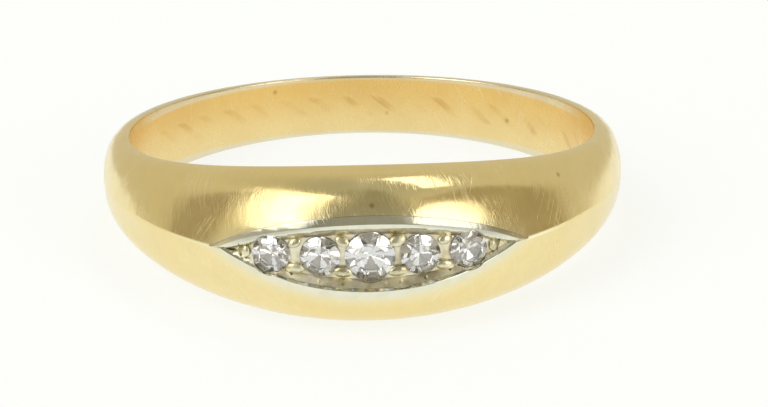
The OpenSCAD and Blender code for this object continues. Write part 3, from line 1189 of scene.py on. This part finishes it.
# %% [markdown]
# ## The table, the light and the camera
# The ring lies on a small white card in a studio. Polished metal shows whatever is around it:
# the pale card below, a dim room behind the camera, dark stands at each side, two soft boxes in
# front and a third overhead. The head is wider and heavier than the back, so the ring rests on
# the edge of its head and on the edge of its back. The card slopes a little in the ring's frame.

# %% White card
CARD_SLOPE = math.atan2(-1.15 + 2.775, 2 * 8.64)
clear_selection()
bpy.ops.mesh.primitive_grid_add(x_subdivisions=8, y_subdivisions=8, size=1)
card = bpy.context.object
card.name = "white_card"
place_card = Matrix.Translation((0, -0.00864, -0.002795)) @ Matrix.Rotation(CARD_SLOPE, 4, "X")
card.data.transform(place_card @ Matrix.Translation((0, 0.0105, 0)) @ Matrix.Diagonal((0.042, 0.052, 1, 1)))


def make_card():
    material, tree, shader, place = new_material("white_card")
    fibres = noise(tree, place, 3000.0, 3.0)
    tint = mix_colour(tree, fibres, (0.27, 0.28, 0.285, 1), (0.30, 0.31, 0.315, 1))
    connect(tree, tint, shader.inputs["Base Color"])
    shader.inputs["Roughness"].default_value = 0.9
    shader.inputs["Specular IOR Level"].default_value = 0.0
    shader.inputs["Emission Color"].default_value = (0.965, 0.98, 0.965, 1)
    shader.inputs["Emission Strength"].default_value = 0.785
    return material


card.data.materials.append(make_card())
print(f"card slope: {math.degrees(CARD_SLOPE):.2f} degrees")


# %% [markdown]
# ### Soft boxes
# Each bright shape on the head is the mirror image of one lamp: a tall box on the left with a
# brighter middle and a fainter fringe, a rounder one on the right, and a thin strip above and
# behind that draws the long line along the top. They are area lights, half a metre away, that
# the camera doesn't see. Energy is worked out from the brightness wanted and the lamp's area.

# %% Soft boxes
def soft_box(name, azimuth, elevation, roll, width, height, radiance, ellipse=False, distance=0.5):
    """An area light that faces the head. Azimuth 0 is the camera's side, and positive is right."""
    target = Vector((0, -0.009, 0))
    az, el = math.radians(azimuth), math.radians(elevation)
    way = Vector((math.sin(az) * math.cos(el), -math.cos(az) * math.cos(el), math.sin(el)))
    light = bpy.data.lights.new(name, "AREA")
    light.shape = "ELLIPSE" if ellipse else "RECTANGLE"
    light.size = width
    light.size_y = height
    area = width * height * (math.pi / 4 if ellipse else 1)
    light.energy = radiance * math.pi * area
    lamp = bpy.data.objects.new(name, light)
    bpy.context.scene.collection.objects.link(lamp)
    turn = (-way).to_track_quat("-Z", "Y").to_matrix() @ Matrix.Rotation(math.radians(roll), 3, "Z")
    lamp.matrix_world = Matrix.Translation(target + way * distance) @ turn.to_4x4()
    lamp.visible_camera = False


soft_box("box_left", -54, 36, 10, 0.30, 0.58, 0.95)
soft_box("box_left_halo", -57, 36, 10, 0.42, 0.62, 0.25, distance=0.52)
soft_box("box_left_core", -52, 38, 10, 0.13, 0.36, 0.8, distance=0.45)
soft_box("box_right", 46, 16, 0, 0.34, 0.46, 1.45, ellipse=True)
soft_box("box_over", 122, 70, 0, 0.28, 0.09, 1.7)
print("soft boxes:", [lamp.name for lamp in bpy.data.lights])


# %% [markdown]
# ### The room
# The dark shapes between the highlights are the unlit parts of the room. A world of one grey
# would leave the gold flat. Here the light depends on its direction, as an angle round the room
# and an angle above the table: a tan room, darker overhead, with one dark gap in front and one
# on each side, and white below the table's edge. The camera itself sees a plain pale backdrop.

# %% Room light by direction
def window(tree, value, low, high, soft):
    """One between two values and zero outside them, with soft edges."""
    rising = blend_range(tree, value, low - soft, low + soft)
    falling = blend_range(tree, value, high + soft, high - soft)
    return maths(tree, "MULTIPLY", rising, falling)


def build_world():
    world = bpy.data.worlds.new("studio")
    world.use_nodes = True
    bpy.context.scene.world = world
    tree = world.node_tree
    backdrop = tree.nodes["Background"]
    place = tree.nodes.new("ShaderNodeTexCoord")
    parts = tree.nodes.new("ShaderNodeSeparateXYZ")
    tree.links.new(place.outputs["Generated"], parts.inputs[0])
    back = maths(tree, "MULTIPLY", parts.outputs["Y"], -1.0)
    to_degrees = 180 / math.pi
    around_room = maths(tree, "MULTIPLY", maths(tree, "ARCTAN2", parts.outputs["X"], back), to_degrees)
    above = maths(tree, "MULTIPLY", maths(tree, "ARCSINE", parts.outputs["Z"]), to_degrees)
    room = mix_colour(tree, blend_range(tree, above, 45, 80), (0.66, 0.61, 0.48, 1), (0.47, 0.465, 0.41, 1))
    patches = [
        (-34, 28, 0.0, -30, 84, 8, (0.325, 0.31, 0.25, 1)),
        (62, 105, 0.35, -30, 52, 4, (0.40, 0.34, 0.225, 1)),
        (-102, -80, -0.3, -30, 50, 4, (0.40, 0.345, 0.25, 1)),
    ]
    for left, right, slant, low, high, soft, shade in patches:
        leaning = maths(tree, "ADD", around_room, maths(tree, "MULTIPLY", above, slant))
        share = maths(tree, "MULTIPLY", window(tree, leaning, left, right, soft),
                      window(tree, above, low, high, soft))
        room = mix_colour(tree, share, room, shade)
    room = mix_colour(tree, blend_range(tree, above, -8, -12), room, (0.95, 0.96, 0.92, 1))
    seen = tree.nodes.new("ShaderNodeLightPath")
    shown = mix_colour(tree, seen.outputs["Is Camera Ray"], room, (0.982, 0.99, 0.947, 1))
    tree.links.new(shown, backdrop.inputs["Color"])


build_world()
bpy.context.scene.view_settings.view_transform = "Standard"
print("world:", bpy.context.scene.world.name)

# %% [markdown]
# ### Camera
# A long lens from a little above, close to straight on, and turned by a degree as a hand-held
# camera would be.

# %% Camera
DISTANCE, RISE, YAW, ROLL = 0.144253, math.radians(16.98), math.radians(1.2), math.radians(0.923)
camera_data = bpy.data.cameras.new("camera")
camera_data.sensor_width = 36
camera_data.lens = 183.78
camera_data.clip_start = 0.005
camera = bpy.data.objects.new("camera", camera_data)
bpy.context.scene.collection.objects.link(camera)
spot = DISTANCE * Vector((-math.cos(RISE) * math.sin(YAW), -math.cos(RISE) * math.cos(YAW), math.sin(RISE)))
facing = (-spot).to_track_quat("-Z", "Y").to_matrix() @ Matrix.Rotation(-ROLL, 3, "Z")
aim = facing @ Vector((0.000795, -0.001283, 0))
facing = (aim - spot).to_track_quat("-Z", "Y").to_matrix() @ Matrix.Rotation(-ROLL, 3, "Z")
camera.matrix_world = Matrix.Translation(spot) @ facing.to_4x4()
bpy.context.scene.camera = camera
print("camera at:", [round(x, 4) for x in camera.matrix_world.translation])
